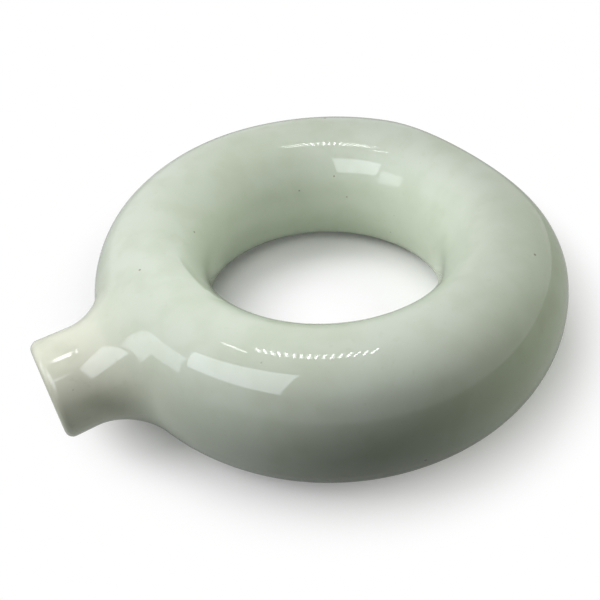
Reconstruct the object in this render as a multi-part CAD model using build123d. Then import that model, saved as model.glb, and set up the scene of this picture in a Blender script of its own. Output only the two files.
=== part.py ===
"""A donut vase of glazed stoneware, lying on its face.

The body is a hollow ring of oval section with a short round neck and a flattened foot opposite the neck.
Frame: millimetres, +Z up, the ring lies flat on the XY plane, the mouth faces -X and the foot faces +X.
The origin lies on the table, under the middle of the vase's box.

The ring is pressed in two halves that meet on its middle plane. A groove runs along the seam, outside and
around the hole, and is filled with slip. Each half carries half of a flared collar, and the thrown neck laps
into that collar over a film of slip.
"""

from build123d import *
from build123d.topology import SkipClean
import math
import os

# Ring
ring_outer_radius = 94.0
ring_width = 47.5
ring_thickness = 59.0
ring_crown_spare = 2.95
ring_wall = 5.0

# Foot, the flat place opposite the neck
foot_depth = 10.5
foot_edge_spare = 4.8

# Collar, the flared stub on the ring that takes the neck
collar_root_radius = 13.0
collar_land = 1.8

# Neck
neck_radius = 18.7
neck_wall = 4.6
neck_height = 14.0
lip_draw = 0.7
lip_flat = 0.3

# Lapped joint between neck and collar
lap_length = 7.0
lap_wall = 2.2
collar_passage_clearance = 0.5

# Slip in the joints
slip_film = 0.4
seam_groove_depth = 1.4
seam_groove_height = 3.0

# Values that follow from the sizes above
section_half_width = ring_width / 2
section_half_height = ring_thickness / 2
ring_mid_radius = ring_outer_radius - section_half_width
ring_crown_radius = section_half_width - ring_crown_spare
crown_rise = section_half_height - ring_crown_radius
side_shift = (crown_rise**2 - ring_crown_spare**2) / (2 * ring_crown_spare)
side_radius = section_half_width + side_shift
foot_reach = ring_outer_radius - foot_depth
foot_edge_radius = ring_crown_radius - foot_edge_spare
flare_centre_y = neck_radius + collar_root_radius
flare_reach = math.sqrt((ring_outer_radius + collar_root_radius) ** 2 - flare_centre_y**2)
collar_reach = flare_reach + collar_land
lip_reach = collar_reach + neck_height
lip_radius = neck_radius - lip_draw
bore_radius = neck_radius - neck_wall
lip_edge_radius = (lip_radius - bore_radius - lip_flat) / 2
spigot_radius = bore_radius + lap_wall
socket_radius = spigot_radius + slip_film
passage_radius = bore_radius + collar_passage_clearance
shoulder_reach = collar_reach + slip_film
spigot_reach = shoulder_reach - lap_length
socket_reach = spigot_reach - slip_film
ring_centre_x = (lip_reach - foot_reach) / 2
overall_reach = max(ring_outer_radius, lip_reach)
tolerance = 0.01


def seat(shape):
    """Moves a shape from the ring's own centre to its place on the table."""
    return Pos(ring_centre_x, 0, section_half_height) * shape


def neck_cylinder(radius, inner_reach, outer_reach):
    """A round bar on the neck's axis, between two distances from the ring's centre."""
    length = outer_reach - inner_reach
    middle = (outer_reach + inner_reach) / 2
    return Pos(-middle, 0, 0) * Rot(0, 90, 0) * Cylinder(radius, length)


def slab(low, high):
    """A block between two heights over the ring's middle plane that is wider than the vase."""
    return Pos(0, 0, (low + high) / 2) * Box(4 * overall_reach, 4 * overall_reach, high - low)


def oval_section(inset):
    """The ring's section, drawn in by an inset: an oval of two crown arcs and two flatter side arcs.

    A crown arc and a side arc meet on the line through both their centres, so that they run on smoothly.
    """
    width = section_half_width - inset
    height = section_half_height - inset
    side = side_radius - inset
    slope = math.atan2(crown_rise, side_shift)
    joint_x = side * math.cos(slope) - side_shift
    joint_y = side * math.sin(slope)
    arcs = [
        ThreePointArc((joint_x, -joint_y), (width, 0), (joint_x, joint_y)),
        ThreePointArc((joint_x, joint_y), (0, height), (-joint_x, joint_y)),
        ThreePointArc((-joint_x, joint_y), (-width, 0), (-joint_x, -joint_y)),
        ThreePointArc((-joint_x, -joint_y), (0, -height), (joint_x, -joint_y)),
    ]
    return Pos(ring_mid_radius, 0) * make_face(arcs)


def solid_ring(inset):
    """The ring as a solid, drawn in by an inset, with its foot cut flat and the foot's rim rounded."""
    ring = revolve(Plane.YZ * oval_section(inset), Axis.Z)
    foot_x = foot_reach - inset
    ring -= Pos(foot_x + overall_reach, 0, 0) * Box(2 * overall_reach, 4 * overall_reach, 4 * overall_reach)
    foot_rim = ring.edges().filter_by_position(Axis.X, foot_x - tolerance, foot_x + tolerance)
    return fillet(foot_rim, foot_edge_radius - inset)


def solid_body(inset):
    """Ring and collar as one solid, drawn in by an inset, with the collar flaring out into the ring.

    The collar's outside is two half-round faces that stay apart, so that the flare follows two edges.
    """
    ring = solid_ring(inset)
    radius = neck_radius - inset
    outline = [
        ThreePointArc((0, -radius), (radius, 0), (0, radius)),
        ThreePointArc((0, radius), (-radius, 0), (0, -radius)),
    ]
    root_plane = Plane(origin=(-ring_mid_radius, 0, 0), x_dir=(0, 1, 0), z_dir=(-1, 0, 0))
    with SkipClean():
        stub = extrude(root_plane * make_face(outline), amount=collar_reach - ring_mid_radius)
        body = ring + stub
        return fillet(new_edges(ring, stub, combined=body), collar_root_radius + inset)


def seam_slips():
    """The two bands of slip, the one around the hole first and the one around the ring second.

    They are the outermost skin of the body on both sides of the ring's middle plane.
    """
    skin = solid_body(0) - solid_body(seam_groove_depth)
    skin -= neck_cylinder(socket_radius, ring_mid_radius, overall_reach)
    bands = skin & slab(-seam_groove_height / 2, seam_groove_height / 2)
    return bands.solids().sort_by(SortBy.VOLUME)


def upper_half(bands):
    """The upper half of the ring: a hollow shell with a socket in its collar and grooves for the slip."""
    shell = solid_body(0) - solid_ring(ring_wall)
    shell -= neck_cylinder(passage_radius, ring_mid_radius, overall_reach)
    shell -= neck_cylinder(socket_radius, socket_reach, overall_reach)
    half = shell & slab(0, ring_thickness)
    for band in bands:
        half -= band
    return half


def neck():
    """The thrown neck: a spigot, a shoulder, an outside that narrows a little and a rounded lip."""
    outline = Polyline(
        (-lip_reach, lip_radius),
        (-lip_reach, bore_radius),
        (-spigot_reach, bore_radius),
        (-spigot_reach, spigot_radius),
        (-shoulder_reach, spigot_radius),
        (-shoulder_reach, neck_radius),
        close=True,
    )
    section = make_face(outline)
    lip_corners = section.vertices().sort_by(Axis.X)[:2]
    return revolve(fillet(lip_corners, lip_edge_radius), Axis.X)


def neck_joint_slip():
    """The film of slip between the neck's spigot and shoulder and the collar's socket."""
    film = neck_cylinder(neck_radius, collar_reach, shoulder_reach)
    film += neck_cylinder(socket_radius, socket_reach, collar_reach)
    film -= neck_cylinder(spigot_radius, spigot_reach, shoulder_reach)
    return film - neck_cylinder(passage_radius, socket_reach, shoulder_reach)


hole_seam_slip, outer_seam_slip = seam_slips()
front = upper_half([hole_seam_slip, outer_seam_slip])
pieces = {
    "front_half_ring": front,
    "back_half_ring": mirror(front, about=Plane.XY),
    "outer_seam_slip": outer_seam_slip,
    "hole_seam_slip": hole_seam_slip,
    "neck": neck(),
    "neck_joint_slip": neck_joint_slip(),
}

os.makedirs("parts", exist_ok=True)
for name, piece in pieces.items():
    export_step(seat(piece), f"parts/{name}.step")
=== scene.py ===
"""A donut vase in a pale celadon glaze, lying on its face on a plain floor.

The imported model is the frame. Three glazed pieces stand for its clay and slip: the front half of the ring,
the back half and the neck. All three are cut from one surface, the zero of a distance field, so that the
glaze runs on over the joints. Lengths are metres. The field is measured from the middle of the ring, and
the neck points along -X.
"""

import math

import bpy
import numpy as np
from bpy.props import FloatProperty, FloatVectorProperty, PointerProperty
from mathutils import Matrix, Vector


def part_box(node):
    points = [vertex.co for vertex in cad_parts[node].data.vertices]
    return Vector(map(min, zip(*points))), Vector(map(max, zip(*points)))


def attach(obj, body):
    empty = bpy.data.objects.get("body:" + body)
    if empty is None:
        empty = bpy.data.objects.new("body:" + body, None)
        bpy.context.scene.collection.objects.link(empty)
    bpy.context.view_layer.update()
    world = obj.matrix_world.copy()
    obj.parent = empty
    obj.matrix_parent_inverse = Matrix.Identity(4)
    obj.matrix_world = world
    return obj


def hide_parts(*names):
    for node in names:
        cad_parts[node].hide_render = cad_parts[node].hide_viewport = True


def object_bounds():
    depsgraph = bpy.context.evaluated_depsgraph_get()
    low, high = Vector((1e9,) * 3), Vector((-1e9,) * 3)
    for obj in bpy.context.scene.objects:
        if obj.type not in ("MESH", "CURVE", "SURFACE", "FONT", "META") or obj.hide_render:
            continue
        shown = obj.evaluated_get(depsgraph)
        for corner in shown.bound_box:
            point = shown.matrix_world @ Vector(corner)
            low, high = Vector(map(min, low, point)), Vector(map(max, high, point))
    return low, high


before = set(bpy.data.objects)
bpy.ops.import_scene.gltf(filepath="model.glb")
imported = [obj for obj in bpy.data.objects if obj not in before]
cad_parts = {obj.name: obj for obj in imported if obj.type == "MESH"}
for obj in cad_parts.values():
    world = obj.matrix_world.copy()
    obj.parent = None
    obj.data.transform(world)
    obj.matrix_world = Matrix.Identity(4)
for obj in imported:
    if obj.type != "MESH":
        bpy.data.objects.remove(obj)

bl_info = {
    "name": "Donut vase",
    "version": (1, 0, 0),
    "blender": (4, 5, 0),
    "location": "View3D > Sidebar > Vase",
    "description": "Builds a glazed donut vase and its stage around the packed frame",
    "category": "Add Mesh",
}

WHITE = (1.0, 1.0, 1.0)
UPRIGHT = Vector((0.0, 0.0, 1.0))

# Places read from the frame
cad_low, cad_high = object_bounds()
hole_low, hole_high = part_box("hole_seam_slip")
joint_low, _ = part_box("neck_joint_slip")
ring_centre = (hole_low + hole_high) / 2

# Steps of the grids around the ring, around its section, over the flare and along the neck
TURN_STEPS = 360
LEAN_STEPS = 72
TURN_STEP = 2 * math.pi / TURN_STEPS
LEAN_STEP = math.pi / LEAN_STEPS
PATCH_TURN_STEPS = 26
PATCH_LEAN_STEPS = 32
FLARE_STEPS = 44
NECK_STEPS = 16
LIP_STEPS = 8
FRONT_SIDE = 1.0
BACK_SIDE = -1.0

# How points settle on the field and where two of them count as one
SETTLE_ROUNDS = 14
PROBE = 1e-5
WELD = 1e-7

# Waves that hands leave: phase to the metre along X, Y and Z, and the phase in the ring's middle
WOBBLE_WAVES = ((71.0, 43.0, 0.0, 1.3), (0.0, 83.0, -52.0, 0.4), (-77.0, 0.0, 64.0, 2.1))
WOBBLE_FADE = 0.02

# How far back from the joint the neck narrows, in lengths from the joint to the lip
ROOT_WAY = -1.5

# Spots to the metre in the patterns of glaze and clay
CLOUDS_PER_METRE = 24.0
MOTTLES_PER_METRE = 95.0
SPECKS_PER_METRE = 420.0
PINHOLES_PER_METRE = 75.0
GRAINS_PER_METRE = 900.0
FOOT_WAVES_PER_METRE = 55.0
GLAZE_WAVES_PER_METRE = 60.0
PEEL_PER_METRE = 420.0

# Values of a pattern between which it comes to show
CLOUD_LIMITS = (0.35, 0.75)
MOTTLE_LIMITS = (0.42, 0.68)
SPECK_LIMITS = (0.62, 0.78)
PINHOLE_LIMITS = (0.048, 0.02)
GRAIN_LIMITS = (0.3, 0.7)
ROUGH_LIMITS = (0.3, 0.7)

# Places between which the glaze darkens towards the pooled colour as painted shade of the hole, out from the
# hole's edge, and turns to cream, along X
HOLE_SHADE_START = 0.009
HOLE_SHADE_END = 0.0005
CREAM_LIMITS = (-0.078, -0.108)

# Finish of the glaze and the clay
GLAZE_IOR = 1.45
CLOUD_ROUGHENING = 1.5
PIT_SHADE = 0.35
GRAIN_SHADE = 0.72
WAVE_HEIGHT = 0.00002
PEEL_HEIGHT = 0.000002
GRIT_HEIGHT = 0.00008
PIT_DEPTH = 0.00015
FOOT_LINE_WAVER = 0.0005
FOOT_LINE_BLUR = 0.0002

# Camera
IMAGE_WIDTH = 600.0
SENSOR_WIDTH = 36.0
CLIP_START = 0.01

# Floor, with the distances at which it glows white, which is painted light that fades out the vase's shadow
# and lifts it in the middle of the hole, and at which it throws less light back
FLOOR_REACH = 3.0
FADE_START = 0.094
FADE_END = 0.136
FADE_SPOT = Vector((0.0095, 0.0234, 0.0))
HOLE_LIGHT_REACH = 0.056
BOUNCE_EDGE = 0.05
BOUNCE_BLUR = 0.02

# Lamps far off, and the bars that the glaze mirrors
LAMP_DISTANCE = 1.1
LAMP_SIZE = 0.6
BARS = 16
BAR_WIDTH = 0.0028
BAR_LENGTH = 0.042
BAR_AZIMUTH = math.radians(143)
FIRST_BAR = Vector((0.045, -0.022, 0.285))
BAR_BEND = Vector((-0.030, -0.008, 0.285))
LAST_BAR = Vector((-0.057, 0.055, 0.285))
END_BAR = Vector((-0.098, 0.0575, 0.285))
END_WIDTH = 0.0085
END_LENGTH = 0.045


def length(name, description, default):
    """A length in metres that a user may change."""
    return FloatProperty(
        name=name, description=description, default=default, min=0.0, precision=5, unit="LENGTH"
    )


def share(name, description, default):
    """A plain number from nought to one that a user may change."""
    return FloatProperty(
        name=name, description=description, default=default, min=0.0, max=1.0, subtype="FACTOR"
    )


def level(name, description, default):
    """A plain number that a user may change."""
    return FloatProperty(name=name, description=description, default=default, min=0.0)


def pixels(name, description, default):
    """A number of the image's pixels that a user may change."""
    return FloatProperty(name=name, description=description, default=default, subtype="PIXEL")


def turn(name, description, degrees):
    """An angle that a user may change, given in degrees."""
    angle = math.radians(degrees)
    return FloatProperty(name=name, description=description, default=angle, subtype="ANGLE")


def colour(name, description, red, green, blue):
    """A linear colour that a user may change."""
    tint = (red, green, blue)
    return FloatVectorProperty(
        name=name, description=description, default=tint, size=3, min=0.0, max=1.0, subtype="COLOR"
    )


class VaseShape(bpy.types.PropertyGroup):
    """Sizes of the vase."""

    ring_radius: length("Ring radius", "Outer radius of the ring", (cad_high.y - cad_low.y) / 2)
    ring_thickness: length("Ring thickness", "Height of the ring's section", cad_high.z - cad_low.z)
    ring_width: length("Ring width", "Width of the ring's section from hole to outside", 0.0475)
    crown_spare: length("Crown spare", "How much tighter the crown is than half the width", 0.00295)
    wall: length("Wall", "Thickness of the ring's wall", 0.005)
    foot_reach: length("Foot reach", "From the ring's middle to the foot", cad_high.x - ring_centre.x)
    foot_trim: length("Foot trim", "How much the glazed foot is rubbed down to stand flat", 0.0005)
    foot_swell: length("Foot swell", "How far the rounded face would stand beyond the foot", 0.0009)
    foot_softness: length("Foot softness", "Width over which the ring rounds into the foot", 0.018)
    joint_reach: length("Joint reach", "From the ring's middle to the neck", ring_centre.x - joint_low.x)
    lip_reach: length("Lip reach", "From the ring's middle to the lip", ring_centre.x - cad_low.x)
    neck_radius: length("Neck radius", "Outer radius of the neck at the joint", 0.0185)
    neck_root: length("Neck root", "From the ring's middle to the neck's inner end", 0.0667)
    bore_radius: length("Bore radius", "Inner radius of the neck", 0.0141)
    lip_flare: length("Lip flare", "How much the neck widens towards the lip", 0.00012)
    root_draw: length("Root draw", "How much the neck narrows towards the ring", 0.0007)
    lip_rounding: length("Lip rounding", "Radius of the lip's outer edge", 0.0032)
    flare_radius: length("Flare radius", "Radius of the hollow between neck and ring", 0.0133)
    flare_lean: length("Flare lean", "How much wider the hollow is on the near side", 0.0022)
    hand_wobble: length("Hand wobble", "Unevenness that hands leave in the ring", 0.0002)


class VaseGlaze(bpy.types.PropertyGroup):
    """Colours and finish of the glaze."""

    celadon: colour("Celadon", "Glaze where it lies even", 0.565, 0.62, 0.545)
    # The pooled colour is the glaze's deeper tone in clouds, mottles and specks; in the hole it is painted
    # shade.
    pooled_and_hole_shade: colour("Pooled glaze", "Glaze where it runs thick, in the hole", 0.43, 0.485, 0.355)
    cream: colour("Cream", "Glaze where it lies thin, on the neck", 0.70, 0.715, 0.60)
    clay: colour("Clay", "Bare clay of the foot", 0.42, 0.33, 0.24)
    # Painted shade: how far the hole's walls darken towards the pooled colour, standing in for the shade in
    # the hole.
    hole_painted_shade: share("Hole pooling", "How much of the pooled glaze shows in the hole", 0.3)
    cloudiness: share("Cloudiness", "How much of the pooled glaze shows in the clouds", 0.38)
    mottling: share("Mottling", "How much of the pooled glaze shows in the mottles", 0.18)
    speckling: share("Speckling", "How much of the pooled glaze shows in the specks", 0.18)
    pinhole_stain: share("Pinhole stain", "How much of the clay's colour shows in the pinholes", 0.6)
    gloss_roughness: share("Glaze roughness", "Roughness of the even glaze", 0.03)
    clay_roughness: share("Clay roughness", "Roughness of the bare clay", 0.75)
    foot_band: length("Foot band", "Depth of the bare band around the foot", 0.0012)


class VaseStage(bpy.types.PropertyGroup):
    """Camera, floor and lamps."""

    camera_azimuth: turn("Camera azimuth", "Turn of the camera around the vase", -32.555)
    camera_elevation: turn("Camera elevation", "Height of the camera over the horizon", 40.569)
    camera_distance: length("Camera distance", "Distance from the ring's middle", 0.28557)
    camera_yaw: turn("Camera yaw", "Turn of the view to the right", -5.319)
    camera_pitch: turn("Camera pitch", "Turn of the view upwards", 0.789)
    camera_roll: turn("Camera roll", "Turn of the view about its own axis", -1.705)
    focal_pixels: pixels("Focal length", "Focal length in pixels of the image", 684.152)
    axis_left: pixels("Axis left", "How far left of the image's centre the camera's axis is", 40.717)
    axis_above: pixels("Axis above", "How far over the image's centre the camera's axis is", 39.404)
    floor: colour("Floor", "Colour of the floor", 0.95, 0.94, 0.96)
    # Painted light: the floor's own glow under the vase, which lifts the vase's shadow.
    floor_white: share("Floor white", "How much of the floor is white by itself under the vase", 0.05)
    bounce_within: colour("Bounce within", "What the floor throws back inside the ring", 0.72, 0.76, 0.66)
    bounce_around: colour("Bounce around", "What the floor throws back elsewhere", 0.145, 0.165, 0.14)
    mirrored_floor: share("Mirrored floor", "How much of the floor's white shows in the glaze", 0.4)
    fill: colour("Fill", "Colour of the lamps that fill the shade", 0.95, 1.0, 0.80)
    left_level: level("Left lamp", "Lamp behind the neck, where 1 shows white as white", 0.67)
    back_level: level("Back lamp", "Lamp high behind the ring, where 1 shows white as white", 0.34)
    right_level: level("Right lamp", "Low lamp beside the foot, where 1 shows white as white", 0.63)
    front_level: level("Front lamp", "Lamp beside the camera, where 1 shows white as white", 0.045)
    over_glow: level("Over glow", "Brightness of the small lamp that hangs over the ring", 4.1)
    hole_glow: level("Hole glow", "Brightness of the card that hangs over the hole", 1.8)
    side_glow: level("Side glow", "Brightness of the card that hangs beside the neck", 0.8)
    neck_glow: level("Neck glow", "Brightness of the card that lies under the neck", 0.3)
    sky: colour("Sky", "Colour of the window panes", 0.88, 0.93, 1.0)
    wide_glow: level("Wide pane glow", "Brightness of the wide window pane in the glaze", 5.0)
    narrow_glow: level("Narrow pane glow", "Brightness of the narrow window pane in the glaze", 3.3)
    bar_glow: level("Bar glow", "Brightness of the row of bars in the glaze", 20.0)
    end_glow: level("End glow", "Brightness of the bar beyond the row in the glaze", 13.0)


def rounded_cut(first, second, radius):
    """Distance to what two shapes share, with the edge between them rounded by a radius.

    It is the length of the two distances past the rounding's own centre, less the radius.
    """
    outside = np.hypot(np.maximum(first + radius, 0.0), np.maximum(second + radius, 0.0))
    return np.minimum(np.maximum(first, second), -radius) + outside


def soft_cut(first, second, softness):
    """Distance to what two shapes share, with the edge between them eased over a width.

    Within the width the larger distance gives way to the other one by a parabola.
    """
    share_of_first = np.clip(0.5 + 0.5 * (first - second) / softness, 0.0, 1.0)
    eased = softness * share_of_first * (1.0 - share_of_first)
    return second + (first - second) * share_of_first + eased


def rounded_join(first, second, radius):
    """Distance to two shapes together, with a hollow of a radius in the corner between them.

    It is the radius less the length of the two distances short of the hollow's own centre.
    """
    inside = np.hypot(np.maximum(radius - first, 0.0), np.maximum(radius - second, 0.0))
    return np.maximum(np.minimum(first, second), radius) - inside


def oval_distance(across, up, shape):
    """Distance to the ring's section, an oval of two crown arcs and two flatter side arcs.

    A point belongs to a side arc while it lies under the line through both arcs' centres.
    """
    crown_radius = shape.ring_width / 2 - shape.crown_spare
    crown_rise = shape.ring_thickness / 2 - crown_radius
    side_shift = (crown_rise**2 - shape.crown_spare**2) / (2 * shape.crown_spare)
    side_radius = shape.ring_width / 2 + side_shift
    across = np.abs(across)
    up = np.abs(up)
    side = np.hypot(across + side_shift, up) - side_radius
    crown = np.hypot(across, up - crown_rise) - crown_radius
    return np.where(up * side_shift < (across + side_shift) * crown_rise, side, crown)


def hand_wobble(x, y, z, shape):
    """A slow unevenness: the mean of three sine waves, each 6 to 8 cm long, faded out towards the lip."""
    waves = np.zeros_like(x)
    for along_x, along_y, along_z, start in WOBBLE_WAVES:
        waves = waves + np.sin(along_x * x + along_y * y + along_z * z + start)
    fade = np.clip((shape.joint_reach + x) / WOBBLE_FADE, 0.0, 1.0)
    return shape.hand_wobble * waves * fade / len(WOBBLE_WAVES)


def vase_field(points, shape):
    """Distance to the vase's outside, below nought inside the clay.

    The ring is the oval carried around a circle and cut by the plane of the foot. The neck is a round bar
    that widens to the lip and narrows to the ring, both by the square of the way. Ring and neck join with a
    hollow that is wider on one side.
    """
    x, y, z = np.moveaxis(points, -1, 0)
    ring = oval_distance(np.hypot(x, y) - (shape.ring_radius - shape.ring_width / 2), z, shape)
    ring = soft_cut(ring, x - shape.foot_reach - shape.foot_swell, shape.foot_softness)
    ring = np.maximum(ring, x - shape.foot_reach + shape.foot_trim)
    from_axis = np.hypot(y, z)
    way = np.clip((-x - shape.joint_reach) / (shape.lip_reach - shape.joint_reach), ROOT_WAY, 1.0)
    neck_radius = shape.neck_radius + np.where(way > 0, shape.lip_flare, -shape.root_draw) * way**2
    neck = rounded_cut(from_axis - neck_radius, -x - shape.lip_reach, shape.lip_rounding)
    neck = np.maximum(neck, shape.neck_root + x)
    flare = shape.flare_radius - shape.flare_lean * y / np.maximum(from_axis, PROBE)
    return rounded_join(ring, neck, flare) + hand_wobble(x, y, z, shape)


def field_normals(points, shape):
    """Unit slope of the field, from its difference across a small probe along each axis."""
    slopes = []
    for step in PROBE * np.eye(3):
        slopes.append(vase_field(points + step, shape) - vase_field(points - step, shape))
    slope = np.stack(slopes, axis=-1)
    return slope / np.linalg.norm(slope, axis=-1, keepdims=True)


def settle(points, shape):
    """Points moved on to the vase's outside: each round goes the field's distance down its slope."""
    for _ in range(SETTLE_ROUNDS):
        points = points - vase_field(points, shape)[..., None] * field_normals(points, shape)
    return points


def ring_points(turns, leans, shape):
    """Points near the ring, at an angle around it from the neck and one around its section from outside.

    They lie on an ellipse of the section's width and height that is carried around the ring.
    """
    middle = shape.ring_radius - shape.ring_width / 2
    reach = middle + shape.ring_width / 2 * np.cos(leans)
    height = shape.ring_thickness / 2 * np.sin(leans)
    return np.stack([-reach * np.cos(turns), reach * np.sin(turns), height], axis=-1)


def collar_points(angles, shape):
    """Points on the round edge where the neck meets the collar, at angles about the neck's axis."""
    reach = np.full_like(angles, -shape.joint_reach)
    radius = shape.neck_radius
    return np.stack([reach, radius * np.cos(angles), radius * np.sin(angles)], axis=-1)


def patch_edge():
    """Turn and lean along the edge of the patch around the neck, from one end of the seam to the other."""
    up = np.arange(PATCH_LEAN_STEPS)
    along = np.arange(PATCH_TURN_STEPS, -PATCH_TURN_STEPS, -1)
    down = np.arange(PATCH_LEAN_STEPS, -1, -1)
    turns = [np.full(len(up), PATCH_TURN_STEPS), along, np.full(len(down), -PATCH_TURN_STEPS)]
    leans = [up, np.full(len(along), PATCH_LEAN_STEPS), down]
    return np.concatenate(turns) * TURN_STEP, np.concatenate(leans) * LEAN_STEP


def collar_angles(shape):
    """Angles about the neck's axis of the points along the patch's edge, from the one seam to the other."""
    turns, leans = patch_edge()
    edge = ring_points(turns, leans, shape)
    return np.arctan2(np.abs(edge[:, 2]), edge[:, 1])


def cells(numbers):
    """Four corners of each cell of a grid of point numbers."""
    corners = [numbers[:-1, :-1], numbers[:-1, 1:], numbers[1:, 1:], numbers[1:, :-1]]
    return np.stack(corners, axis=-1).reshape(-1, 4)


def welded(grids):
    """Points and cells of several grids as one sheet, where points at the same place become one."""
    points = np.concatenate([grid.reshape(-1, 3) for grid in grids])
    quads = []
    start = 0
    for grid in grids:
        rows, columns = grid.shape[:2]
        quads.append(cells(start + np.arange(rows * columns).reshape(rows, columns)))
        start += rows * columns
    quads = np.concatenate(quads)
    _, kept, number = np.unique(np.round(points / WELD), axis=0, return_index=True, return_inverse=True)
    return points[kept], number.ravel()[quads]


def face_normals(points, quads):
    """Unit normals of four-cornered faces, from the cross product of their diagonals."""
    first, second, third, fourth = (points[quads[:, corner]] for corner in range(4))
    crossed = np.cross(third - first, fourth - second)
    return crossed / np.linalg.norm(crossed, axis=1, keepdims=True)


def facing(points, quads, normals):
    """The same faces, each turned so that it faces the way its corners' normals do."""
    inward = (face_normals(points, quads) * normals[quads].mean(axis=1)).sum(axis=1) < 0
    return np.where(inward[:, None], quads[:, ::-1], quads)


def walled(points, quads, normals, wall):
    """A sheet made into a closed wall: the sheet, the same sheet moved inwards, and a strip between them.

    The strip runs along the open edges, where no other face runs along an edge the other way.
    """
    count = len(points)
    edges = np.stack([quads, np.roll(quads, -1, axis=1)], axis=-1).reshape(-1, 2)
    matched = np.isin(edges[:, 0] * count + edges[:, 1], edges[:, 1] * count + edges[:, 0])
    start, end = edges[~matched].T
    strip = np.stack([end, start, start + count, end + count], axis=1)
    inner = quads[:, ::-1]
    all_points = np.concatenate([points, points - wall[:, None] * normals])
    flat = np.repeat(face_normals(all_points, strip)[:, None], 4, axis=1)
    corner_normals = np.concatenate([normals[quads], -normals[inner], flat])
    return all_points, np.concatenate([quads, inner + count, strip]), corner_normals


def half_ring(side, shape):
    """One half of the ring as a closed wall, on the front side or the back side.

    Three grids make its outside: the ring away from the neck, the strip of ring behind the neck's patch,
    and the patch itself, whose lines run from its edge on the ring to the round edge of the collar. Along
    the collar the wall goes over to the neck's own wall.
    """
    far_turns = np.arange(PATCH_TURN_STEPS, TURN_STEPS - PATCH_TURN_STEPS + 1) * TURN_STEP
    near_turns = np.arange(-PATCH_TURN_STEPS, PATCH_TURN_STEPS + 1) * TURN_STEP
    leans = np.arange(LEAN_STEPS + 1) * LEAN_STEP
    far = ring_points(*np.meshgrid(far_turns, leans), shape)
    behind = ring_points(*np.meshgrid(near_turns, leans[PATCH_LEAN_STEPS:]), shape)
    edge = ring_points(*patch_edge(), shape)
    way = np.linspace(0.0, 1.0, FLARE_STEPS + 1)[:, None, None]
    patch = edge * (1 - way) + collar_points(collar_angles(shape), shape) * way
    mirrored = np.array([1.0, 1.0, side])
    points, quads = welded([settle(grid * mirrored, shape) for grid in (far, behind, patch)])
    normals = field_normals(points, shape)
    along_collar = (-points[:, 0] - shape.ring_radius) / (shape.joint_reach - shape.ring_radius)
    near_neck = np.abs(points[:, 1]) < 2 * shape.neck_radius
    collar_wall = shape.neck_radius - shape.bore_radius
    wall = shape.wall + (collar_wall - shape.wall) * np.clip(along_collar, 0.0, 1.0) * near_neck
    return walled(points, facing(points, quads, normals), normals, wall)


def neck_wall(shape):
    """The neck as a closed ring of wall: the outside settles on the field, and the bore is plain.

    The lip's inner edge is a quarter circle from the lip's crest to the bore.
    """
    half = collar_angles(shape)
    angles = np.concatenate([half, -half[-2:0:-1]])[None, :]
    lip_start = shape.lip_reach - shape.lip_rounding
    crest_radius = shape.neck_radius + shape.lip_flare - shape.lip_rounding
    inner_rounding = crest_radius - shape.bore_radius
    bend = np.linspace(0.0, math.pi / 2, LIP_STEPS + 1)
    outside_reach = np.linspace(shape.joint_reach, lip_start, NECK_STEPS + 1)
    outer_reach = np.concatenate([outside_reach, lip_start + shape.lip_rounding * np.sin(bend[1:])])
    outer_radius = crest_radius + shape.lip_rounding * np.cos(bend[1:])
    outer_radius = np.concatenate([np.full(NECK_STEPS + 1, shape.neck_radius), outer_radius])
    inner_reach = shape.lip_reach - inner_rounding * (1 - np.cos(bend[1:]))
    inner_reach = np.concatenate([inner_reach, outside_reach[-2::-1]])
    inner_radius = crest_radius - inner_rounding * np.sin(bend[1:])
    inner_radius = np.concatenate([inner_radius, np.full(NECK_STEPS, shape.bore_radius)])
    inner_slope = np.concatenate([bend[1:], np.full(NECK_STEPS, math.pi / 2)])[:, None]

    def around(reach, radius):
        """Profile rows carried around the neck's axis."""
        reach = np.broadcast_to(-reach[:, None], (len(reach), angles.shape[1]))
        radius = radius[:, None]
        return np.stack([reach, radius * np.cos(angles), radius * np.sin(angles)], axis=-1)

    outer = settle(around(outer_reach, outer_radius), shape)
    inner = around(inner_reach, inner_radius)
    inner_normals = np.stack([
        -np.cos(inner_slope) * np.ones_like(angles),
        -np.sin(inner_slope) * np.cos(angles),
        -np.sin(inner_slope) * np.sin(angles),
    ], axis=-1)
    rows = np.concatenate([outer, inner])
    normals = np.concatenate([field_normals(outer, shape), inner_normals]).reshape(-1, 3)
    points = rows.reshape(-1, 3)
    numbers = np.arange(len(points)).reshape(rows.shape[:2])
    numbers = np.concatenate([numbers, numbers[:, :1]], axis=1)
    quads = facing(points, cells(numbers), normals)
    rim = np.stack([numbers[0, :-1], numbers[0, 1:], numbers[-1, 1:], numbers[-1, :-1]], axis=-1)
    rim_normals = np.tile(np.array([1.0, 0.0, 0.0]), (len(points), 1))
    rim = facing(points, rim, rim_normals)
    corner_normals = np.concatenate([normals[quads], rim_normals[rim]])
    return points, np.concatenate([quads, rim]), corner_normals


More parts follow.
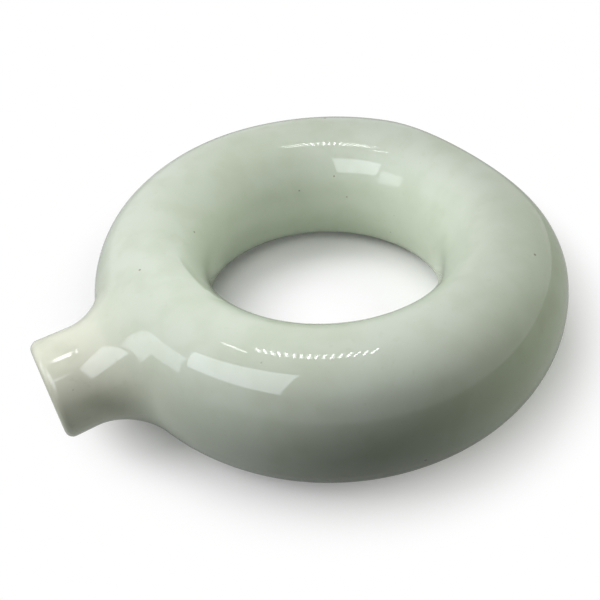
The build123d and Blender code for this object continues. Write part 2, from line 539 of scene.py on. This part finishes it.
def add_piece(name, built, replaced, material):
    """Puts a piece into its place in the frame, where it stands for some of the frame's nodes."""
    points, faces, corner_normals = built
    mesh = bpy.data.meshes.new(name)
    mesh.vertices.add(len(points))
    mesh.vertices.foreach_set("co", (points + np.array(ring_centre)).ravel())
    mesh.loops.add(faces.size)
    mesh.loops.foreach_set("vertex_index", faces.ravel())
    mesh.polygons.add(len(faces))
    mesh.polygons.foreach_set("loop_start", np.arange(len(faces)) * 4)
    mesh.polygons.foreach_set("use_smooth", np.ones(len(faces), dtype=bool))
    mesh.update(calc_edges=True)
    mesh.normals_split_custom_set(corner_normals.reshape(-1, 3).tolist())
    mesh.materials.append(material)
    piece = bpy.data.objects.new(name, mesh)
    bpy.context.scene.collection.objects.link(piece)
    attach(piece, "root")
    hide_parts(*replaced)


def place_node(tree, kind, inputs=None, **settings):
    """Adds a node. Its inputs go by name or number, and are plain values or the sockets that feed them."""
    node = tree.nodes.new(kind)
    for name, value in settings.items():
        setattr(node, name, value)
    for name, value in (inputs or {}).items():
        if isinstance(value, bpy.types.NodeSocket):
            tree.links.new(value, node.inputs[name])
        else:
            node.inputs[name].default_value = value
    return node


def opaque(tint, shade=1.0):
    """A tint as a colour socket takes it, darkened by a shade."""
    return (*(shade * part for part in tint), 1.0)


def ramp(tree, value, start, end, low=0.0, high=1.0):
    """A value that eases from low to high while another goes from start to end."""
    inputs = {"Value": value, "From Min": start, "From Max": end, "To Min": low, "To Max": high}
    return place_node(tree, "ShaderNodeMapRange", inputs, interpolation_type="SMOOTHSTEP").outputs["Result"]


def blend(tree, factor, first, second):
    """A colour that goes from the first to the second with a factor.

    A Mix node's colours are its inputs 6 and 7 and its output 2.
    """
    inputs = {0: factor, 6: first, 7: second}
    return place_node(tree, "ShaderNodeMix", inputs, data_type="RGBA").outputs[2]


def blend_numbers(tree, factor, first, second):
    """A number that goes from the first to the second with a factor.

    A Mix node's numbers are its inputs 2 and 3 and its output 0.
    """
    inputs = {0: factor, 2: first, 3: second}
    return place_node(tree, "ShaderNodeMix", inputs, data_type="FLOAT").outputs[0]


def figure(tree, operation, first, second):
    """The result of a sum on two values."""
    return place_node(tree, "ShaderNodeMath", {0: first, 1: second}, operation=operation).outputs[0]


def distance_from(tree, where, place):
    """How far a point of the surface lies from a place."""
    inputs = {0: where, 1: place}
    return place_node(tree, "ShaderNodeVectorMath", inputs, operation="DISTANCE").outputs["Value"]


def noise(tree, where, scale, detail):
    """Cloudy noise between nought and one, with a number of clouds to the metre."""
    inputs = {"Vector": where, "Scale": scale, "Detail": detail}
    return place_node(tree, "ShaderNodeTexNoise", inputs).outputs["Fac"]


def celadon_glaze(glaze, shape):
    """The glaze, made once: cream on the neck, darker and greener in the hole as painted shade, cloudy,
    pinholed, and off the foot.

    Places in it are measured from the ring's middle, as the field's are.
    """
    made = bpy.data.materials.get("celadon glaze")
    if made:
        return made
    material = bpy.data.materials.new("celadon glaze")
    material.use_nodes = True
    tree = material.node_tree
    shader = tree.nodes["Principled BSDF"]
    shader.inputs["IOR"].default_value = GLAZE_IOR
    where = place_node(tree, "ShaderNodeTexCoord").outputs["Object"]
    inputs = {"Vector": where, "Location": -ring_centre}
    where = place_node(tree, "ShaderNodeMapping", inputs).outputs["Vector"]
    x = place_node(tree, "ShaderNodeSeparateXYZ", {"Vector": where}).outputs["X"]
    inputs = {0: where, 1: (1.0, 1.0, 0.0)}
    level_place = place_node(tree, "ShaderNodeVectorMath", inputs, operation="MULTIPLY").outputs[0]
    inputs = {0: level_place}
    radius = place_node(tree, "ShaderNodeVectorMath", inputs, operation="LENGTH").outputs["Value"]

    clouds = noise(tree, where, CLOUDS_PER_METRE, 3.0)
    mottles = noise(tree, where, MOTTLES_PER_METRE, 2.0)
    specks = noise(tree, where, SPECKS_PER_METRE, 2.0)
    hole_radius = shape.ring_radius - shape.ring_width
    # Painted shade: near the hole's edge the glaze darkens towards the pooled colour, standing in for the
    # shade in the hole.
    hole_shade = ramp(tree, radius, hole_radius + HOLE_SHADE_START, hole_radius + HOLE_SHADE_END)
    hole_shade = figure(tree, "MULTIPLY", hole_shade, glaze.hole_painted_shade)
    cloudy = ramp(tree, clouds, *CLOUD_LIMITS, 0.0, glaze.cloudiness)
    pooling_and_hole_shade = figure(tree, "MAXIMUM", hole_shade, cloudy)
    glaze_colour = blend(tree, pooling_and_hole_shade, opaque(glaze.celadon), opaque(glaze.pooled_and_hole_shade))
    on_neck = ramp(tree, x, *CREAM_LIMITS)
    glaze_colour = blend(tree, on_neck, glaze_colour, opaque(glaze.cream))
    mottling = ramp(tree, mottles, *MOTTLE_LIMITS, 0.0, glaze.mottling)
    glaze_colour = blend(tree, mottling, glaze_colour, opaque(glaze.pooled_and_hole_shade))
    speckling = ramp(tree, specks, *SPECK_LIMITS, 0.0, glaze.speckling)
    glaze_colour = blend(tree, speckling, glaze_colour, opaque(glaze.pooled_and_hole_shade))

    pinholes = place_node(tree, "ShaderNodeTexVoronoi", {"Vector": where, "Scale": PINHOLES_PER_METRE})
    pinhole = ramp(tree, pinholes.outputs["Distance"], *PINHOLE_LIMITS)
    stain = figure(tree, "MULTIPLY", pinhole, glaze.pinhole_stain)
    glaze_colour = blend(tree, stain, glaze_colour, opaque(glaze.clay, PIT_SHADE))

    waver = figure(tree, "SUBTRACT", noise(tree, where, FOOT_WAVES_PER_METRE, 2.0), 0.5)
    wavering_x = figure(tree, "ADD", x, figure(tree, "MULTIPLY", waver, FOOT_LINE_WAVER))
    foot_line = shape.foot_reach - shape.foot_trim - glaze.foot_band
    bare = ramp(tree, wavering_x, foot_line - FOOT_LINE_BLUR, foot_line + FOOT_LINE_BLUR)
    grains = noise(tree, where, GRAINS_PER_METRE, 4.0)
    graining = ramp(tree, grains, *GRAIN_LIMITS)
    clay_colour = blend(tree, graining, opaque(glaze.clay, GRAIN_SHADE), opaque(glaze.clay))
    surface = blend(tree, bare, glaze_colour, clay_colour)
    tree.links.new(surface, shader.inputs["Base Color"])

    smooth = glaze.gloss_roughness
    gloss = ramp(tree, clouds, *ROUGH_LIMITS, smooth, smooth * CLOUD_ROUGHENING)
    rough = blend_numbers(tree, bare, gloss, glaze.clay_roughness)
    tree.links.new(rough, shader.inputs["Roughness"])

    waves = figure(tree, "MULTIPLY", noise(tree, where, GLAZE_WAVES_PER_METRE, 1.0), WAVE_HEIGHT)
    peel = figure(tree, "MULTIPLY", noise(tree, where, PEEL_PER_METRE, 1.0), PEEL_HEIGHT)
    grit = figure(tree, "MULTIPLY", figure(tree, "MULTIPLY", grains, bare), GRIT_HEIGHT)
    dents = figure(tree, "MULTIPLY", figure(tree, "MAXIMUM", pinhole, bare), -PIT_DEPTH)
    height = figure(tree, "ADD", figure(tree, "ADD", waves, peel), figure(tree, "ADD", grit, dents))
    bump = place_node(tree, "ShaderNodeBump", {"Height": height, "Distance": 1.0})
    tree.links.new(bump.outputs["Normal"], shader.inputs["Normal"])
    return material


class VASE_OT_front_half(bpy.types.Operator):
    """Builds the glazed half of the ring that lies uppermost"""

    bl_idname = "vase.front_half"
    bl_label = "Front half"

    def execute(self, context):
        shape = context.scene.vase_shape
        glaze = celadon_glaze(context.scene.vase_glaze, shape)
        replaced = ("front_half_ring", "outer_seam_slip")
        add_piece("glazed_front_half", half_ring(FRONT_SIDE, shape), replaced, glaze)
        return {"FINISHED"}


class VASE_OT_back_half(bpy.types.Operator):
    """Builds the glazed half of the ring that lies on the floor"""

    bl_idname = "vase.back_half"
    bl_label = "Back half"

    def execute(self, context):
        shape = context.scene.vase_shape
        glaze = celadon_glaze(context.scene.vase_glaze, shape)
        replaced = ("back_half_ring", "hole_seam_slip")
        add_piece("glazed_back_half", half_ring(BACK_SIDE, shape), replaced, glaze)
        return {"FINISHED"}


class VASE_OT_neck(bpy.types.Operator):
    """Builds the glazed neck with its lip and bore"""

    bl_idname = "vase.neck"
    bl_label = "Neck"

    def execute(self, context):
        shape = context.scene.vase_shape
        glaze = celadon_glaze(context.scene.vase_glaze, shape)
        replaced = ("neck", "neck_joint_slip")
        add_piece("glazed_neck", neck_wall(shape), replaced, glaze)
        return {"FINISHED"}


def direction(azimuth, elevation):
    """Unit vector at an azimuth, nought along -Y and a quarter turn along +X, and at an elevation."""
    flat = math.cos(elevation)
    return Vector((math.sin(azimuth) * flat, -math.cos(azimuth) * flat, math.sin(elevation)))


def turned(first, second, angle):
    """Two axes at right angles, after a turn in their plane that brings the second towards the first."""
    cosine = math.cos(angle)
    sine = math.sin(angle)
    return first * cosine - second * sine, second * cosine + first * sine


def add_camera(stage):
    """The camera: it looks at the ring's middle, then turns by yaw, pitch and roll.

    Its axis lies off the image's centre, which the shift makes up for.
    """
    back = direction(stage.camera_azimuth, stage.camera_elevation)
    look = -back
    right = look.cross(UPRIGHT).normalized()
    up = right.cross(look)
    right, look = turned(right, look, stage.camera_yaw)
    up, look = turned(up, look, stage.camera_pitch)
    up, right = turned(up, right, stage.camera_roll)
    camera = bpy.data.cameras.new("camera")
    camera.sensor_width = SENSOR_WIDTH
    camera.lens = SENSOR_WIDTH * stage.focal_pixels / IMAGE_WIDTH
    camera.shift_x = stage.axis_left / IMAGE_WIDTH
    camera.shift_y = -stage.axis_above / IMAGE_WIDTH
    camera.clip_start = CLIP_START
    holder = bpy.data.objects.new("camera", camera)
    bpy.context.scene.collection.objects.link(holder)
    place = Matrix((right, up, -look)).transposed().to_4x4()
    place.translation = ring_centre + back * stage.camera_distance
    holder.matrix_world = place
    bpy.context.scene.camera = holder


def add_lamp(name, place, axes, width, height, power, tint):
    """A rectangular lamp at a place seen from the ring's middle, which shines against its third axis."""
    light = bpy.data.lights.new(name, "AREA")
    light.shape = "RECTANGLE"
    light.size = width
    light.size_y = height
    light.energy = power
    light.color = tint
    lamp = bpy.data.objects.new(name, light)
    bpy.context.scene.collection.objects.link(lamp)
    lamp.matrix_world = Matrix.LocRotScale(ring_centre + place, axes, None)
    lamp.visible_camera = False
    return lamp


def add_broad_lamps(stage):
    """Four broad lamps far off, which light the clay and stay out of the glaze.

    Each has its level, its azimuth and elevation in degrees, and its tint. Its power is its level of white
    times pi squared times its distance squared.
    """
    lamps = {
        "left lamp": (stage.left_level, -119, 38, WHITE),
        "back lamp": (stage.back_level, -161, 66, WHITE),
        "right lamp": (stage.right_level, 68, 8, stage.fill),
        "front lamp": (stage.front_level, -45, 56, stage.fill),
    }
    for name, (shown, azimuth, elevation, tint) in lamps.items():
        place = direction(math.radians(azimuth), math.radians(elevation)) * LAMP_DISTANCE
        aim = (-place).to_track_quat("-Z", "Y").to_matrix()
        power = shown * (math.pi * LAMP_DISTANCE) ** 2
        add_lamp(name, place, aim, LAMP_SIZE, LAMP_SIZE, power, tint).visible_glossy = False


def add_small_lamps(stage):
    """Four small round lamps close by, which light the clay and stay out of the glaze.

    Each has its glow, its place, the way it faces and its size across. Its power is its glow times pi times
    its area.
    """
    lamps = {
        "over lamp": (stage.over_glow, (-0.050, -0.020, 0.140), (0.0, 0.5, -1.0), 0.08),
        "hole card": (stage.hole_glow, (0.0, -0.030, 0.032), (0.1, 1.0, 0.15), 0.05),
        "neck card": (stage.neck_glow, (-0.125, -0.042, -0.029), (0.0, 0.0, 1.0), 0.10),
        "side card": (stage.side_glow, (-0.150, -0.080, 0.060), (0.3, 1.0, -0.5), 0.06),
    }
    for name, (glow, place, faced, size) in lamps.items():
        aim = Vector(faced).to_track_quat("-Z", "Y").to_matrix()
        power = glow * (math.pi * size / 2) ** 2
        lamp = add_lamp(name, Vector(place), aim, size, size, power, WHITE)
        lamp.data.shape = "DISK"
        lamp.visible_glossy = False


def add_glint(name, place, across, up, width, height, glow, tint=WHITE):
    """A lamp that only the glaze mirrors. Its power is its glow times pi times its area."""
    across = across.normalized()
    up = (up - across * up.dot(across)).normalized()
    axes = Matrix((across, up, across.cross(up))).transposed()
    power = glow * math.pi * width * height
    add_lamp(name, place, axes, width, height, power, tint).visible_diffuse = False


def add_panes(stage):
    """Two panes of a window that the glaze mirrors.

    Each has its glow, one corner, the corner beside that one and the corner over it.
    """
    panes = {
        "wide pane": (
            stage.wide_glow, (-0.266, -0.013, 0.114), (-0.152, -0.132, 0.093), (-0.214, 0.020, 0.199)
        ),
        "narrow pane": (
            stage.narrow_glow, (-0.312, 0.118, 0.040), (-0.324, 0.004, 0.067), (-0.272, 0.114, 0.149)
        ),
    }
    for name, (glow, corner, beside, above) in panes.items():
        across = Vector(beside) - Vector(corner)
        up = Vector(above) - Vector(corner)
        place = (Vector(beside) + Vector(above)) / 2
        add_glint(name, place, across, up, across.length, up.length, glow, stage.sky)


def add_bars(stage):
    """A row of level bars overhead that the glaze mirrors, and a wider, fainter bar beyond the row.

    The bars lie side by side along a parabola from the first to the last, which a third point bends.
    """
    long_way = direction(BAR_AZIMUTH, 0.0)
    short_way = long_way.cross(UPRIGHT)
    for number, way in enumerate(np.linspace(0.0, 1.0, BARS)):
        place = FIRST_BAR * (1 - way) ** 2 + BAR_BEND * 2 * way * (1 - way) + LAST_BAR * way**2
        add_glint(f"bar {number}", place, short_way, long_way, BAR_WIDTH, BAR_LENGTH, stage.bar_glow)
    along_neck = Vector((1.0, 0.0, 0.0))
    across_neck = Vector((0.0, 1.0, 0.0))
    add_glint("end bar", END_BAR, along_neck, across_neck, END_WIDTH, END_LENGTH, stage.end_glow)


def seen_directly(tree, mirrored=1.0):
    """One to the camera or through a clear body, a share of one in a gloss, and nought for lighting."""
    path = place_node(tree, "ShaderNodeLightPath").outputs
    in_gloss = figure(tree, "MULTIPLY", path["Is Glossy Ray"], mirrored)
    through = figure(tree, "MAXIMUM", in_gloss, path["Is Transmission Ray"])
    return figure(tree, "MAXIMUM", path["Is Camera Ray"], through)


def floor_material(stage):
    """A pale floor that takes the vase's shadow, turns white away from it, and throws little light back. The
    white is painted light, a glow that fades the shadow out away from the vase and lifts it in the middle of
    the hole.
    """
    material = bpy.data.materials.new("pale floor")
    material.use_nodes = True
    tree = material.node_tree
    tree.nodes.remove(tree.nodes["Principled BSDF"])
    where = place_node(tree, "ShaderNodeTexCoord").outputs["Object"]
    under_ring = Vector((ring_centre.x, ring_centre.y, 0.0))
    near = distance_from(tree, where, under_ring)
    far = distance_from(tree, where, under_ring + FADE_SPOT)
    pale = place_node(tree, "ShaderNodeBsdfDiffuse", {"Color": opaque(stage.floor)}).outputs[0]
    white = place_node(tree, "ShaderNodeEmission").outputs[0]
    # Painted light: the floor glows white in the middle of the hole and away from the vase, which lifts the
    # vase's shadow and fades it out.
    painted_hole_light = ramp(tree, near, HOLE_LIGHT_REACH, 0.0, stage.floor_white)
    white_and_painted_light = figure(tree, "MAXIMUM", painted_hole_light, ramp(tree, far, FADE_START, FADE_END, stage.floor_white))
    shown = place_node(tree, "ShaderNodeMixShader", {0: white_and_painted_light, 1: pale, 2: white}).outputs[0]
    around = ramp(tree, near, BOUNCE_EDGE, BOUNCE_EDGE + BOUNCE_BLUR)
    thrown = blend(tree, around, opaque(stage.bounce_within), opaque(stage.bounce_around))
    dull = place_node(tree, "ShaderNodeBsdfDiffuse", {"Color": thrown}).outputs[0]
    seen = seen_directly(tree, stage.mirrored_floor)
    either = place_node(tree, "ShaderNodeMixShader", {0: seen, 1: dull, 2: shown}).outputs[0]
    tree.links.new(either, tree.nodes["Material Output"].inputs["Surface"])
    return material


def add_floor(stage):
    """The floor, a square sheet at the frame's own floor."""
    mesh = bpy.data.meshes.new("floor")
    reach = FLOOR_REACH
    corners = [(-reach, -reach, 0.0), (reach, -reach, 0.0), (reach, reach, 0.0), (-reach, reach, 0.0)]
    mesh.from_pydata(corners, [], [(0, 1, 2, 3)])
    mesh.materials.append(floor_material(stage))
    floor = bpy.data.objects.new("floor", mesh)
    bpy.context.scene.collection.objects.link(floor)


def add_room():
    """The room: white where it is looked at or mirrored, and dark to everything else."""
    world = bpy.data.worlds.new("room")
    bpy.context.scene.world = world
    world.use_nodes = True
    tree = world.node_tree
    background = tree.nodes["Background"]
    background.inputs["Color"].default_value = opaque(WHITE)
    tree.links.new(seen_directly(tree), background.inputs["Strength"])


class VASE_OT_stage(bpy.types.Operator):
    """Sets up the floor, the lamps, the room and the camera"""

    bl_idname = "vase.stage"
    bl_label = "Stage"

    def execute(self, context):
        stage = context.scene.vase_stage
        add_floor(stage)
        add_room()
        add_broad_lamps(stage)
        add_small_lamps(stage)
        add_panes(stage)
        add_bars(stage)
        add_camera(stage)
        context.scene.view_settings.view_transform = "Standard"
        return {"FINISHED"}


class VIEW3D_PT_vase(bpy.types.Panel):
    """The vase's pieces and sizes in the sidebar"""

    bl_label = "Donut vase"
    bl_space_type = "VIEW_3D"
    bl_region_type = "UI"
    bl_category = "Vase"

    def draw(self, context):
        for operator in OPERATORS:
            self.layout.operator(operator.bl_idname)
        for group in GROUPS:
            values = getattr(context.scene, group)
            for name in values.__annotations__:
                self.layout.prop(values, name)


GROUPS = {"vase_shape": VaseShape, "vase_glaze": VaseGlaze, "vase_stage": VaseStage}
OPERATORS = (VASE_OT_front_half, VASE_OT_back_half, VASE_OT_neck, VASE_OT_stage)
CLASSES = (*GROUPS.values(), *OPERATORS, VIEW3D_PT_vase)


def register():
    """Registers the classes and hangs the property groups on the scene."""
    for cls in CLASSES:
        bpy.utils.register_class(cls)
    for name, group in GROUPS.items():
        setattr(bpy.types.Scene, name, PointerProperty(type=group))


def unregister():
    """Takes the property groups off the scene and unregisters the classes."""
    for name in GROUPS:
        delattr(bpy.types.Scene, name)
    for cls in reversed(CLASSES):
        bpy.utils.unregister_class(cls)


def main():
    """Registers the add-on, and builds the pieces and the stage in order."""
    register()
    bpy.ops.vase.front_half()
    bpy.ops.vase.back_half()
    bpy.ops.vase.neck()
    bpy.ops.vase.stage()


if __name__ == "__main__":
    main()
